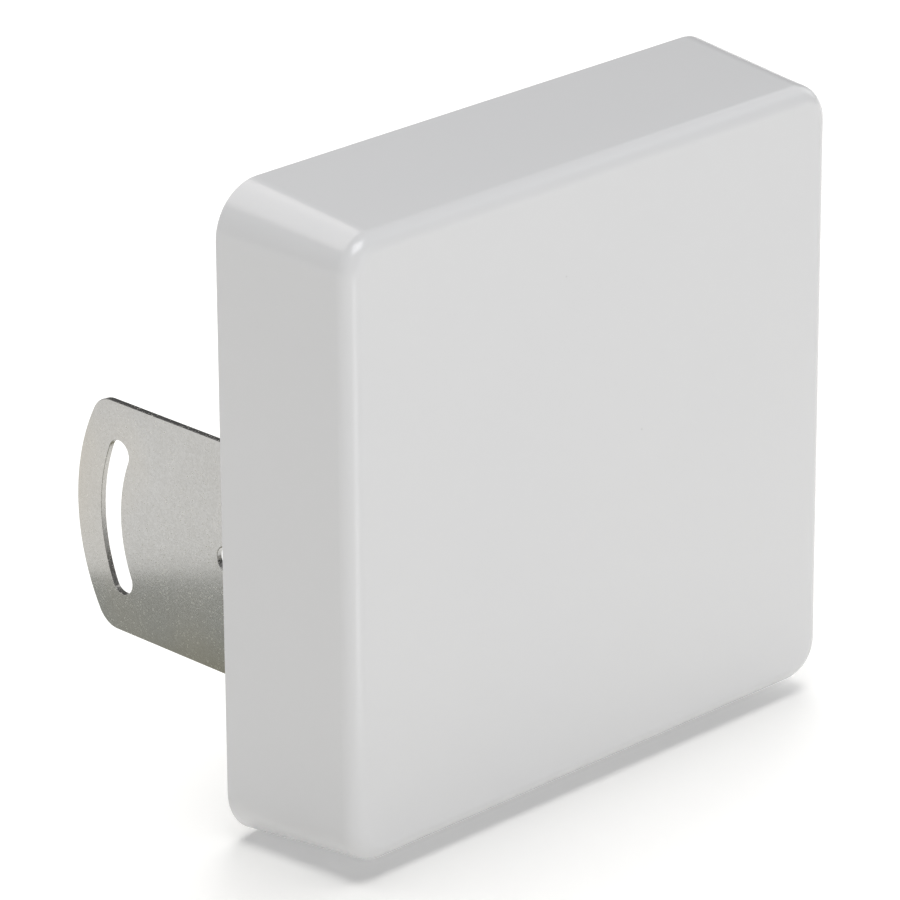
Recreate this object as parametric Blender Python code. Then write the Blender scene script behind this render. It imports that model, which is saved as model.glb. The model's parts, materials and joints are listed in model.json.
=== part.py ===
# Flat panel antenna with a tilt bracket: a moulded radome over a patch array, closed by a metal back
# plate that carries two coaxial sockets and an L-shaped bracket.
# Metres, +Z up. The antenna looks along -Y and stands on the lower rear edge of its radome at Z = 0.
import math

import bmesh
import bpy
from mathutils import Vector

# Radome
WIDTH = 0.205                            # across the open rear edge
HEIGHT = 0.2003
DEPTH = 0.0495
DRAFT_SIDE = math.radians(4.7)           # left and right walls lean in towards the front
DRAFT_ENDS = math.radians(6.2)           # top and bottom walls
FRONT_FILLET = 0.0058
CORNER_FRONT = 0.0121
CORNER_REAR = 0.0158
WALL = 0.0025
LEDGE_WIDTH = 0.003                      # rib that the gasket is pressed against
LEDGE_DEPTH = 0.0036
LEDGE_HEIGHT = 0.0024

# Tilt bracket
PLATE = 0.002
BASE_WIDTH = 0.076
BRACKET_HEIGHT = 0.0762
BRACKET_BELOW_CENTRE = 0.0517
PIVOT_BEHIND = 0.0683                    # pivot hole from the rear plane
SLOT_RADIUS = 0.0524
SLOT_WIDTH = 0.0089
SLOT_HALF_ANGLE = math.radians(23.7)
END_RADIUS = 0.0677                      # curved rear edge, about the pivot
BRACKET_CORNER = 0.009                   # at the ends of the curved edge
BASE_CORNER = 0.012                      # at the free edge of the base
BEND_RADIUS = 0.003
BOLT_SPACING = 0.054

# Closing and inner parts, as depths in front of the rear plane
GAP = 0.0003                             # air left between touching pieces
BACK_PLATE = 0.002
STANDOFF = 0.006
BOARD = 0.0016
POST = 0.0097
PATCH = 0.0008
POST_UPPER = 0.0126
PATCH_SPACING = 0.094
DRIVEN_PATCH = 0.052
DIRECTOR_PATCH = 0.044
SCREW_INSET = 0.0072                    # screws from the outer edge of the radome
SOCKET_X = 0.06
SOCKET_Z = 0.04
SOCKET_RADIUS = 0.0079
BOARD_HALF = (0.086, 0.083)
STANDOFF_PLACES = (0.078, 0.075)         # from the middle of the board, in X and Z
VENT_X = 0.07
VENT_Z = 0.15
VENT_STEM = 0.003
SCREW_CLEARANCE = 0.0018                 # radius of holes for the small screws and snap stems
BOLT_CLEARANCE = 0.0029

PAST = 0.001                             # how far a drill runs past the face it opens
CUTTER_OVERRUN = 0.01                    # the same for the larger blanks and cutters
CORNER_STEPS = 6
REAR_Y = DEPTH - (DEPTH + PIVOT_BEHIND + END_RADIUS) / 2
MIDDLE_Z = HEIGHT / 2
BRACKET_Z = MIDDLE_Z - BRACKET_BELOW_CENTRE

COLOURS = {
    "white_plastic": ((0.80, 0.80, 0.80), 0.30, 0.0),
    "zinc_plate": ((0.55, 0.55, 0.52), 0.42, 1.0),
    "aluminium": ((0.72, 0.73, 0.74), 0.45, 1.0),
    "zinc_fastener": ((0.60, 0.61, 0.62), 0.35, 1.0),
    "nickel": ((0.66, 0.64, 0.60), 0.22, 1.0),
    "rubber": ((0.03, 0.03, 0.03), 0.75, 0.0),
    "cap_plastic": ((0.05, 0.05, 0.055), 0.50, 0.0),
    "board": ((0.05, 0.22, 0.10), 0.40, 0.0),
    "nylon": ((0.85, 0.84, 0.80), 0.50, 0.0),
}


def clear_scene():
    for item in list(bpy.data.objects):
        bpy.data.objects.remove(item)


def material(slot):
    found = bpy.data.materials.get(slot)
    if found:
        return found
    colour, roughness, metallic = COLOURS[slot]
    made = bpy.data.materials.new(slot)
    made.use_nodes = True
    shader = made.node_tree.nodes["Principled BSDF"]
    shader.inputs["Base Color"].default_value = (*colour, 1.0)
    shader.inputs["Roughness"].default_value = roughness
    shader.inputs["Metallic"].default_value = metallic
    return made


def rear(depth):
    """World Y of a plane this far in front of the rear plane; behind it when negative."""
    return REAR_Y - depth


def add_object(name, mesh_data, slot, smooth_below=None):
    bmesh.ops.recalc_face_normals(mesh_data, faces=mesh_data.faces)
    mesh = bpy.data.meshes.new(name)
    mesh_data.to_mesh(mesh)
    mesh_data.free()
    if smooth_below:
        mesh.shade_smooth()
        mesh.set_sharp_from_angle(angle=smooth_below)
    made = bpy.data.objects.new(name, mesh)
    bpy.context.scene.collection.objects.link(made)
    if slot:
        mesh.materials.append(material(slot))
    return made


def use_as_cutter(piece):
    piece.hide_render = True
    piece.display_type = "WIRE"
    return piece


def combine(piece, other, operation):
    step = piece.modifiers.new(other.name, "BOOLEAN")
    step.operation = operation
    step.solver = "EXACT"
    step.object = use_as_cutter(other)


def rounded_rectangle(half_x, half_z, radius, steps=CORNER_STEPS):
    """Outline points in X and Z, anticlockwise, with a round corner in each quarter."""
    points = []
    for quarter, (sign_x, sign_z) in enumerate(((1, 1), (-1, 1), (-1, -1), (1, -1))):
        for step in range(steps + 1):
            angle = (quarter + step / steps) * math.pi / 2
            x = sign_x * (half_x - radius) + radius * math.cos(angle)
            z = sign_z * (half_z - radius) + radius * math.sin(angle)
            points.append((x, z))
    return points


def loft(name, rings, slot=None, closed=False):
    """Skin a row of equal rings; closed joins the last to the first, otherwise both ends are capped."""
    data = bmesh.new()
    loops = [[data.verts.new(point) for point in ring] for ring in rings]
    count = len(loops[0])
    pairs = list(zip(loops, loops[1:]))
    if closed:
        pairs.append((loops[-1], loops[0]))
    else:
        data.faces.new(loops[0])
        data.faces.new(loops[-1])
    for first, second in pairs:
        for index in range(count):
            after = (index + 1) % count
            data.faces.new((first[index], first[after], second[after], second[index]))
    return add_object(name, data, slot, math.radians(35))


def plate(name, outline, y_first, y_last, slot=None, z_middle=MIDDLE_Z):
    """A flat plate that faces along Y, from an outline in X and Z."""
    rings = [[(x, y, z_middle + z) for x, z in outline] for y in (y_first, y_last)]
    return loft(name, rings, slot)


def turned(name, profile, centre_x, centre_z, slot=None, segments=16, ring=False):
    """A piece turned about a line along Y. Each profile step is radius, depth in front of the rear
    plane and, for a hexagon, the word hex; ring closes the profile round a bore."""
    data = bmesh.new()
    loops = []
    for radius, depth, *shape in profile:
        if radius == 0:
            loops.append([data.verts.new((centre_x, rear(depth), centre_z))])
            continue
        loop = []
        for index in range(segments):
            angle = 2 * math.pi * index / segments
            reach = radius
            if shape:
                reach = radius / math.cos((angle % (math.pi / 3)) - math.pi / 6)
            x = centre_x + reach * math.cos(angle)
            z = centre_z + reach * math.sin(angle)
            loop.append(data.verts.new((x, rear(depth), z)))
        loops.append(loop)
    pairs = list(zip(loops, loops[1:]))
    if ring:
        pairs.append((loops[-1], loops[0]))
    for first, second in pairs:
        for index in range(segments):
            after = (index + 1) % segments
            corners = [first[index % len(first)], first[after % len(first)],
                       second[after % len(second)], second[index % len(second)]]
            data.faces.new(list(dict.fromkeys(corners)))
    return add_object(name, data, slot, math.radians(35))


def drill(piece, centre_x, centre_z, radius, depth_first, depth_last, segments=12):
    profile = [(0, depth_first), (radius, depth_first), (radius, depth_last), (0, depth_last)]
    cutter = turned(f"{piece.name}_drill_{len(piece.modifiers)}", profile, centre_x, centre_z,
                    segments=segments)
    combine(piece, cutter, "DIFFERENCE")


def wall_ring(depth_from_front, inset=0.0):
    """Ring of the drafted side walls at this distance behind the front face, moved in by inset."""
    half_x = WIDTH / 2 - (DEPTH - depth_from_front) * math.tan(DRAFT_SIDE) - inset
    half_z = HEIGHT / 2 - (DEPTH - depth_from_front) * math.tan(DRAFT_ENDS) - inset
    share = depth_from_front / DEPTH
    radius = CORNER_FRONT + (CORNER_REAR - CORNER_FRONT) * share - inset
    y = rear(DEPTH - depth_from_front)
    return [(x, y, MIDDLE_Z + z) for x, z in rounded_rectangle(half_x, half_z, radius)]


def fillet_rings(inset, fillet, front_depth, steps=4):
    """Rings round the front edge, from the side wall to the front face."""
    draft = (DRAFT_SIDE + DRAFT_ENDS) / 2
    sharp_x = WIDTH / 2 - DEPTH * math.tan(DRAFT_SIDE) - inset
    sharp_z = HEIGHT / 2 - DEPTH * math.tan(DRAFT_ENDS) - inset
    side_offset = (fillet * math.sin(draft) - fillet) / math.cos(draft)
    turn = math.pi / 2 - draft
    rings = []
    for step in range(steps, -1, -1):
        angle = turn * step / steps
        offset = side_offset + fillet * math.sin(angle)
        last = side_offset + fillet * math.sin(turn)
        radius = CORNER_FRONT - inset - (last - offset)
        y = rear(DEPTH - front_depth - fillet + fillet * math.cos(angle))
        outline = rounded_rectangle(sharp_x + offset, sharp_z + offset, radius)
        rings.append([(x, y, MIDDLE_Z + z) for x, z in outline])
    return rings


def screw_places():
    """Eight places round the back plate: one in each corner and one at the middle of each side."""
    side_x = WIDTH / 2 - SCREW_INSET
    side_z = HEIGHT / 2 - SCREW_INSET
    diagonal = (CORNER_REAR - SCREW_INSET) * math.sin(math.pi / 4)
    corner_x = WIDTH / 2 - CORNER_REAR + diagonal
    corner_z = HEIGHT / 2 - CORNER_REAR + diagonal
    places = [(sx * corner_x, MIDDLE_Z + sz * corner_z) for sz in (-1, 1) for sx in (-1, 1)]
    places += [(-side_x, MIDDLE_Z), (side_x, MIDDLE_Z)]
    places += [(0.0, MIDDLE_Z - side_z), (0.0, MIDDLE_Z + side_z)]
    return places


def bolt_places():
    half = BOLT_SPACING / 2
    return [(sx * half, BRACKET_Z + sz * half) for sz in (-1, 1) for sx in (-1, 1)]


def element_places():
    half = PATCH_SPACING / 2
    return [(sx * half, MIDDLE_Z + sz * half) for sz in (-1, 1) for sx in (-1, 1)]


def standoff_places():
    reach_x, reach_z = STANDOFF_PLACES
    corners = [(sx * reach_x, MIDDLE_Z + sz * reach_z) for sz in (-1, 1) for sx in (-1, 1)]
    return corners + [(0.0, MIDDLE_Z)]


def build_radome():
    inner_fillet = FRONT_FILLET - WALL
    outer = [wall_ring(DEPTH)] + fillet_rings(0.0, FRONT_FILLET, 0.0)
    ledge_end = LEDGE_DEPTH + LEDGE_HEIGHT
    inner = fillet_rings(WALL, inner_fillet, WALL)[::-1]
    inner.append(wall_ring(DEPTH - ledge_end - LEDGE_WIDTH, WALL))
    inner.append(wall_ring(DEPTH - ledge_end, WALL + LEDGE_WIDTH))
    inner.append(wall_ring(DEPTH - LEDGE_DEPTH, WALL + LEDGE_WIDTH))
    inner.append(wall_ring(DEPTH - LEDGE_DEPTH, WALL))
    inner.append(wall_ring(DEPTH, WALL))
    radome = shell("radome", outer, inner, "white_plastic")
    boss_radius = 0.0045
    boss_end = 0.02
    pilot_end = 0.0165
    for index, (x, z) in enumerate(screw_places()):
        profile = [(0, LEDGE_DEPTH), (boss_radius, LEDGE_DEPTH), (boss_radius, boss_end), (0, boss_end)]
        boss = turned(f"radome_boss_{index + 1}", profile, x, z, segments=12)
        combine(radome, boss, "UNION")
        drill(radome, x, z, SCREW_CLEARANCE, LEDGE_DEPTH - PAST, pilot_end, segments=8)


def shell(name, outer, inner, slot):
    """A cup with a thick wall: outer rings run from the rim to the front, inner rings back again."""
    data = bmesh.new()
    loops = [[data.verts.new(point) for point in ring] for ring in outer + inner]
    count = len(loops[0])
    front = len(outer)
    data.faces.new(loops[front - 1])
    data.faces.new(loops[front])
    pairs = [pair for index, pair in enumerate(zip(loops, loops[1:])) if index != front - 1]
    pairs.append((loops[-1], loops[0]))
    for first, second in pairs:
        for index in range(count):
            after = (index + 1) % count
            data.faces.new((first[index], first[after], second[after], second[index]))
    return add_object(name, data, slot, math.radians(35))


def inner_outline(inset):
    """Outline of something that fits inside the rear rim, moved in by inset."""
    return rounded_rectangle(WIDTH / 2 - inset, HEIGHT / 2 - inset, CORNER_REAR - inset)


def build_back_plate():
    outline = inner_outline(WALL + 2 * GAP)
    back = plate("back_plate", outline, rear(0.0), rear(BACK_PLATE), "aluminium")
    last = BACK_PLATE + PAST
    for x, z in screw_places():
        drill(back, x, z, SCREW_CLEARANCE, -PAST, last, segments=8)
    for x, z in bolt_places():
        drill(back, x, z, BOLT_CLEARANCE, -PAST, last)
    for side in (-1, 1):
        drill(back, side * SOCKET_X, SOCKET_Z, SOCKET_RADIUS + GAP, -PAST, last, segments=16)
    drill(back, VENT_X, VENT_Z, VENT_STEM + GAP, -PAST, last)


def build_gasket():
    first = BACK_PLATE + GAP
    last = LEDGE_DEPTH - GAP
    outside = inner_outline(WALL + 2 * GAP)
    inside = inner_outline(WALL + LEDGE_WIDTH)
    rings = []
    for outline, depth in ((outside, first), (outside, last), (inside, last), (inside, first)):
        rings.append([(x, rear(depth), MIDDLE_Z + z) for x, z in outline])
    loft("seal_gasket", rings, "rubber", closed=True)


def build_back_screws():
    head_radius, head_height, shaft, end = 0.0028, 0.0022, 0.0014, 0.014
    head_end = -GAP - head_height
    profile = [(0, head_end), (head_radius * 0.7, head_end), (head_radius, -GAP - head_height * 0.45),
               (head_radius, -GAP), (shaft, -GAP), (shaft, end), (0, end + shaft)]
    for index, (x, z) in enumerate(screw_places()):
        turned(f"back_screw_{index + 1}", profile, x, z, "zinc_fastener", segments=12)


def build_feed_board():
    first = BACK_PLATE + STANDOFF + 2 * GAP
    corner_radius = 0.006
    outline = rounded_rectangle(*BOARD_HALF, corner_radius, 3)
    board = plate("feed_board", outline, rear(first), rear(first + BOARD), "board")
    for x, z in standoff_places():
        drill(board, x, z, SCREW_CLEARANCE, first - PAST, first + BOARD + PAST, segments=8)


def build_standoffs():
    foot = BACK_PLATE + GAP
    shoulder = foot + STANDOFF
    above = shoulder + BOARD + 2 * GAP
    base, body, stem, barb = 0.005, 0.0035, 0.0015, 0.0024
    base_top = foot + 0.001
    barb_top = above + 0.002
    profile = [(0, foot), (base, foot), (base, base_top), (body, base_top), (body, shoulder),
               (stem, shoulder), (stem, above), (barb, above), (stem * 0.7, barb_top), (0, barb_top)]
    for index, (x, z) in enumerate(standoff_places()):
        turned(f"board_standoff_{index + 1}", profile, x, z, "nylon", segments=8)


def build_elements():
    foot = BACK_PLATE + STANDOFF + BOARD + 3 * GAP
    lower = foot + POST
    driven = lower + GAP
    middle = driven + PATCH + GAP
    upper = middle + POST_UPPER
    director = upper + GAP
    top = director + PATCH + GAP
    base, body, neck = 0.005, 0.003, 0.002
    base_top = foot + 0.001
    barb_top = top + 0.0025
    profile = [(0, foot), (base, foot), (base, base_top), (body, base_top), (body, lower),
               (neck, lower), (neck, middle), (body, middle), (body, upper), (neck, upper),
               (neck, top), (body, top), (neck / 2, barb_top), (0, barb_top)]
    corner_radius = 0.002
    for index, (x, z) in enumerate(element_places()):
        number = index + 1
        turned(f"patch_post_{number}", profile, x, z, "nylon", segments=8)
        for kind, size, depth in (("driven", DRIVEN_PATCH, driven), ("director", DIRECTOR_PATCH, director)):
            square = rounded_rectangle(size / 2, size / 2, corner_radius, 2)
            outline = [(x + px, pz) for px, pz in square]
            patch = plate(f"{kind}_patch_{number}", outline, rear(depth), rear(depth + PATCH),
                          "aluminium", z_middle=z)
            drill(patch, x, z, neck + GAP, depth - PAST, depth + PATCH + PAST, segments=8)


def build_sockets():
    """Bulkhead coaxial sockets: flange and seal inside, nut outside, a push-on cap on each."""
    seal = BACK_PLATE + GAP
    seal_end = seal + 0.001
    flange = seal_end + GAP
    flange_end = flange + 0.002
    stub_end = flange_end + 0.001
    pin_end = BACK_PLATE + STANDOFF
    mouth = -0.019
    contact, contact_top = 0.0015, mouth + 0.002
    recess, recess_floor = 0.0042, mouth + 0.009
    flange_radius, stub, pin = 0.011, 0.0025, 0.0007
    body = [(0, contact_top), (contact, contact_top), (contact, recess_floor), (recess, recess_floor),
            (recess, mouth), (SOCKET_RADIUS - 0.0007, mouth), (SOCKET_RADIUS, mouth + 0.001),
            (SOCKET_RADIUS, flange), (flange_radius, flange), (flange_radius, flange_end),
            (stub, flange_end), (stub, stub_end), (pin, stub_end), (pin, pin_end), (0, pin_end)]
    bore = SOCKET_RADIUS + GAP
    half_across, nut_end = 0.0105, -GAP - 0.003
    nut = [(bore, -GAP), (bore, nut_end), (half_across, nut_end, "hex"), (half_across, -GAP, "hex")]
    ring = [(bore, seal), (bore, seal_end), (half_across, seal_end), (half_across, seal)]
    skirt, roof = -0.0045, mouth - GAP
    cap_radius, cap_end, ease = 0.0098, roof - 0.0016, 0.001
    cap = [(0, roof), (bore, roof), (bore, skirt), (cap_radius, skirt), (cap_radius, cap_end + ease),
           (cap_radius - ease, cap_end), (0, cap_end)]
    for side, x in (("left", -SOCKET_X), ("right", SOCKET_X)):
        turned(f"socket_{side}", body, x, SOCKET_Z, "nickel", segments=18)
        turned(f"socket_nut_{side}", nut, x, SOCKET_Z, "nickel", segments=18, ring=True)
        turned(f"socket_seal_{side}", ring, x, SOCKET_Z, "rubber", segments=18, ring=True)
        turned(f"socket_cap_{side}", cap, x, SOCKET_Z, "cap_plastic", segments=18)


def build_vent():
    inside = BACK_PLATE + GAP
    head, head_end, ease = 0.005, -0.0023, 0.001
    barb, barb_end = VENT_STEM * 1.2, inside + 0.0025
    profile = [(0, head_end), (head - ease, head_end), (head, head_end + ease), (head, -GAP),
               (VENT_STEM, -GAP), (VENT_STEM, inside), (barb, inside), (barb - ease, barb_end),
               (0, barb_end)]
    turned("vent_plug", profile, VENT_X, VENT_Z, "cap_plastic", segments=12)


def arc(centre, radius, start, end, steps):
    points = []
    for step in range(steps + 1):
        angle = start + (end - start) * step / steps
        points.append((centre[0] + radius * math.cos(angle), centre[1] + radius * math.sin(angle)))
    return points


def across(name, outline, x_first, x_last):
    """A prism that runs along X, from an outline in Y and Z."""
    return loft(name, [[(x, y, z) for y, z in outline] for x in (x_first, x_last)])


def bracket_outline():
    """Side view of the tilt plate: straight edges, round corners and a rear edge curved round the pivot."""
    pivot = Vector((rear(-PIVOT_BEHIND), BRACKET_Z))
    half = BRACKET_HEIGHT / 2
    corner_z = half - BRACKET_CORNER
    reach = END_RADIUS - BRACKET_CORNER
    angle = math.asin(corner_z / reach)
    corner_y = reach * math.cos(angle)
    start = REAR_Y - CUTTER_OVERRUN
    points = [(start, BRACKET_Z - half)]
    points += arc((pivot.x + corner_y, pivot.y - corner_z), BRACKET_CORNER, -math.pi / 2, -angle, 5)
    points += arc(pivot, END_RADIUS, -angle, angle, 12)[1:-1]
    points += arc((pivot.x + corner_y, pivot.y + corner_z), BRACKET_CORNER, angle, math.pi / 2, 5)
    points.append((start, BRACKET_Z + half))
    return points


def slot_outline():
    pivot = (rear(-PIVOT_BEHIND), BRACKET_Z)
    half = SLOT_WIDTH / 2
    turn = SLOT_HALF_ANGLE
    low = (pivot[0] + SLOT_RADIUS * math.cos(turn), pivot[1] - SLOT_RADIUS * math.sin(turn))
    high = (pivot[0] + SLOT_RADIUS * math.cos(turn), pivot[1] + SLOT_RADIUS * math.sin(turn))
    points = arc(pivot, SLOT_RADIUS + half, -turn, turn, 10)
    points += arc(high, half, turn, turn + math.pi, 6)[1:-1]
    points += arc(pivot, SLOT_RADIUS - half, turn, -turn, 10)
    points += arc(low, half, math.pi - turn, 2 * math.pi - turn, 6)[1:-1]
    return points


def build_bracket():
    """One plate bent into an L: the base lies on the back plate, the tilt plate stands off its left edge."""
    left = -BASE_WIDTH / 2
    inner = REAR_Y + GAP
    outer = inner + PLATE
    far = rear(-PIVOT_BEHIND - END_RADIUS)
    bend = (left + PLATE + BEND_RADIUS, outer + BEND_RADIUS)
    corner = arc(bend, BEND_RADIUS, 1.5 * math.pi, math.pi, 4)
    outside = arc(bend, BEND_RADIUS + PLATE, math.pi, 1.5 * math.pi, 4)
    section = [(BASE_WIDTH / 2, inner), (BASE_WIDTH / 2, outer)] + corner
    section += [(left + PLATE, far + PAST), (left, far + PAST)] + outside
    half = BRACKET_HEIGHT / 2
    rings = [[(x, y, BRACKET_Z + z) for x, y in section] for z in (-half, half)]
    bracket = loft("tilt_bracket", rings, "zinc_plate")
    low_x, high_x = left - CUTTER_OVERRUN, left + CUTTER_OVERRUN
    side_blank = across("bracket_side_blank", bracket_outline(), low_x, BASE_WIDTH / 2 + CUTTER_OVERRUN)
    combine(bracket, side_blank, "INTERSECT")
    face = rounded_rectangle(BASE_WIDTH / 2 + BASE_CORNER, half, BASE_CORNER, 5)
    shifted = [(x - BASE_CORNER, z) for x, z in face]
    face_blank = plate("bracket_face_blank", shifted, REAR_Y - CUTTER_OVERRUN, far + CUTTER_OVERRUN,
                       z_middle=BRACKET_Z)
    combine(bracket, face_blank, "INTERSECT")
    combine(bracket, across("bracket_slot", slot_outline(), low_x, high_x), "DIFFERENCE")
    pivot = arc((rear(-PIVOT_BEHIND), BRACKET_Z), SLOT_WIDTH / 2, 0, 2 * math.pi, 20)[:-1]
    combine(bracket, across("bracket_pivot", pivot, low_x, high_x), "DIFFERENCE")
    for x, z in bolt_places():
        drill(bracket, x, z, BOLT_CLEARANCE, GAP, -GAP - PLATE - PAST)


def build_bracket_fasteners():
    under = -GAP - PLATE - GAP
    washer_end = under - 0.001
    head = washer_end - GAP
    head_end = head - 0.0035
    inside = BACK_PLATE + GAP
    shaft, shaft_end = 0.0024, 0.0075
    half_across, ease = 0.004, 0.0005
    bolt = [(0, head_end), (half_across - ease, head_end), (half_across, head_end + ease, "hex"),
            (half_across, head, "hex"), (shaft, head), (shaft, shaft_end), (0, shaft_end)]
    bore, rim = shaft + 0.0004, 0.005
    washer = [(bore, under), (bore, washer_end), (rim, washer_end), (rim, under)]
    nut_end, collar = inside + 0.004, 0.0045
    nut = [(bore, inside), (bore, nut_end), (collar - GAP, nut_end), (collar, inside)]
    for index, (x, z) in enumerate(bolt_places()):
        number = index + 1
        turned(f"bracket_bolt_{number}", bolt, x, z, "zinc_fastener", segments=12)
        turned(f"bracket_washer_{number}", washer, x, z, "zinc_fastener", segments=12, ring=True)
        turned(f"clinch_nut_{number}", nut, x, z, "zinc_fastener", segments=12, ring=True)


clear_scene()
build_radome()
build_back_plate()
build_gasket()
build_back_screws()
build_feed_board()
build_standoffs()
build_elements()
build_sockets()
build_vent()
build_bracket()
build_bracket_fasteners()
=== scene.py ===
import json
import math

import bmesh
import bpy
from mathutils import Matrix, Vector


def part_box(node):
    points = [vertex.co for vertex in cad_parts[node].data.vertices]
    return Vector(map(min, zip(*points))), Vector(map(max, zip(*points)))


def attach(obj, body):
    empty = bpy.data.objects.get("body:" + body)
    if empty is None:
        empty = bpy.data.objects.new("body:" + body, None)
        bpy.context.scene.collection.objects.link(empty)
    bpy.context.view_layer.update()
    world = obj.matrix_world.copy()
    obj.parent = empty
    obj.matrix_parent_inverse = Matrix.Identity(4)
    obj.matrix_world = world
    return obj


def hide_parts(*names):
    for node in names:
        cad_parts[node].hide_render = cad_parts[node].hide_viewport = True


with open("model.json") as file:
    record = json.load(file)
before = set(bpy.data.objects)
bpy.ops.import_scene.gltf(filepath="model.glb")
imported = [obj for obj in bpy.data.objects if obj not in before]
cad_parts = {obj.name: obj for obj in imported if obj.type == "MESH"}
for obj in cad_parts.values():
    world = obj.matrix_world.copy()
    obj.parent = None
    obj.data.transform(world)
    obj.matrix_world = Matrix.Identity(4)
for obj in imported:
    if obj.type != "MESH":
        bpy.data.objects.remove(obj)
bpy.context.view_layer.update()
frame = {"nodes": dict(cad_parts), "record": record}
scene = bpy.context.scene

radomeLow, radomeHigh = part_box("radome")
bracketLow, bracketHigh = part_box("tilt_bracket")
backLow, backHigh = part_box("back_plate")
rearY = radomeHigh.y                       # plane of the open rear edge
frontY = radomeLow.y
middleZ = (radomeLow.z + radomeHigh.z) / 2


# Node graphs: sums written as Python expressions

class Wire:
    def __init__(self, graph, socket):
        self.graph = graph
        self.socket = socket

    def maths(self, operation, first, second):
        return self.graph.add("ShaderNodeMath", {"operation": operation}, {0: first, 1: second})

    def __add__(self, other):
        return self.maths("ADD", self, other)

    def __radd__(self, other):
        return self.maths("ADD", other, self)

    def __mul__(self, other):
        return self.maths("MULTIPLY", self, other)

    def __lt__(self, other):
        return self.maths("LESS_THAN", self, other)

    def __gt__(self, other):
        return self.maths("GREATER_THAN", self, other)


class Graph:
    def __init__(self, tree):
        self.tree = tree

    def add(self, kind, settings=None, inputs=None, out=0):
        node = self.tree.nodes.new(kind)
        for key, value in (settings or {}).items():
            if key == "stops":
                fillRamp(node.color_ramp, value)
            else:
                setattr(node, key, value)
        for key, value in (inputs or {}).items():
            if isinstance(value, Wire):
                self.tree.links.new(value.socket, node.inputs[key])
            else:
                node.inputs[key].default_value = value
        return Wire(self, node.outputs[out]) if len(node.outputs) else None


def fillRamp(ramp, stops):
    while len(ramp.elements) < len(stops):
        ramp.elements.new(1.0)
    for element, (position, level) in zip(ramp.elements, stops):
        element.position = position
        element.color = (level, level, level, 1.0)


def noise(graph, place, scale, detail=2.0, roughness=0.5):
    return graph.add("ShaderNodeTexNoise", None,
                     {"Vector": place, "Scale": scale, "Detail": detail, "Roughness": roughness})


def stretched(graph, place, scale):
    return graph.add("ShaderNodeMapping", None, {"Vector": place, "Scale": scale})


def ramp(graph, level, stops):
    return graph.add("ShaderNodeValToRGB", {"stops": stops}, {"Fac": level})


def mixed(graph, share, first, second):
    # a mix node names its sockets alike for every type, so those for colours go by number
    return graph.add("ShaderNodeMix", {"data_type": "RGBA"}, {0: share, 6: first, 7: second}, out=2)


def bumped(graph, height, distance, strength=1.0, under=None):
    inputs = {"Height": height, "Distance": distance, "Strength": strength}
    if under:
        inputs["Normal"] = under
    return graph.add("ShaderNodeBump", None, inputs)


def makeFinish(name, recipe, fixed=None):
    made = bpy.data.materials.new(name)
    made.use_nodes = True
    made.node_tree.nodes.clear()
    graph = Graph(made.node_tree)
    place = graph.add("ShaderNodeTexCoord", out="Object")
    channels = dict(fixed or {})
    channels.update(recipe(graph, place))
    shader = graph.add("ShaderNodeBsdfPrincipled", None, channels)
    graph.add("ShaderNodeOutputMaterial", None, {"Surface": shader})
    return made


# Finishes

def gloss(graph, place):
    shade = noise(graph, place, 9.0, 2.0)
    mottle = noise(graph, place, 700.0, 3.0)
    tone = shade * 0.85 + mottle * 0.15
    colour = mixed(graph, tone, (0.748, 0.750, 0.755, 1), (0.772, 0.770, 0.765, 1))
    cells = graph.add("ShaderNodeTexVoronoi", {"feature": "F1"}, {"Vector": place, "Scale": 75.0})
    chance = noise(graph, place, 41.0, 0.0)
    speck = (cells < 0.014) * (chance > 0.56)
    colour = mixed(graph, speck * 0.55, colour, (0.22, 0.20, 0.17, 1))
    smudge = noise(graph, stretched(graph, place, (26.0, 26.0, 12.0)), 1.0, 4.0, 0.6)
    roughness = 0.21 + smudge * 0.05
    peel = noise(graph, place, 420.0, 1.0)
    normal = bumped(graph, peel, 0.000004, 0.4)
    return {"Base Color": colour, "Roughness": roughness, "Normal": normal}


def zincSheet(graph, place):
    cloud = noise(graph, place, 34.0, 4.0, 0.6)
    grain = noise(graph, place, 2400.0, 2.0, 0.7)
    flake = graph.add("ShaderNodeTexVoronoi", {"feature": "F1"}, {"Vector": place, "Scale": 1500.0},
                      out="Color")
    flake = graph.add("ShaderNodeSeparateColor", None, {0: flake})
    tone = cloud * 0.5 + grain * 0.2 + flake * 0.3
    colour = mixed(graph, tone, (0.395, 0.388, 0.372, 1), (0.54, 0.54, 0.535, 1))
    stain = ramp(graph, noise(graph, place, 17.0, 2.0), ((0.48, 0.0), (0.66, 0.35)))
    colour = mixed(graph, stain, colour, (0.52, 0.47, 0.38, 1))
    # painted glints: bright specks painted into the colour, which are also given more roughness
    glints = graph.add("ShaderNodeTexVoronoi", {"feature": "F1"}, {"Vector": place, "Scale": 900.0})
    chance = noise(graph, place, 300.0, 1.0)
    glint = (glints < 0.24) * (chance > 0.48)
    colour = mixed(graph, glint * 0.4, colour, (0.90, 0.89, 0.83, 1))
    turned = graph.add("ShaderNodeMapping", None, {"Vector": place, "Rotation": (0.62, 0.0, 0.0)})
    down = noise(graph, stretched(graph, turned, (90.0, 1700.0, 48.0)), 1.0, 1.0)
    across = noise(graph, stretched(graph, turned, (90.0, 60.0, 2100.0)), 1.0, 1.0)
    scratch = (down > 0.755) + (across > 0.77)
    colour = mixed(graph, scratch * 0.22, colour, (0.86, 0.85, 0.80, 1))
    roughness = 0.11 + cloud * 0.05 + grain * 0.14 + scratch * 0.1 + glint * 0.3
    normal = bumped(graph, flake, 0.00002, 0.5)
    return {"Base Color": colour, "Roughness": roughness, "Normal": normal}


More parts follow.
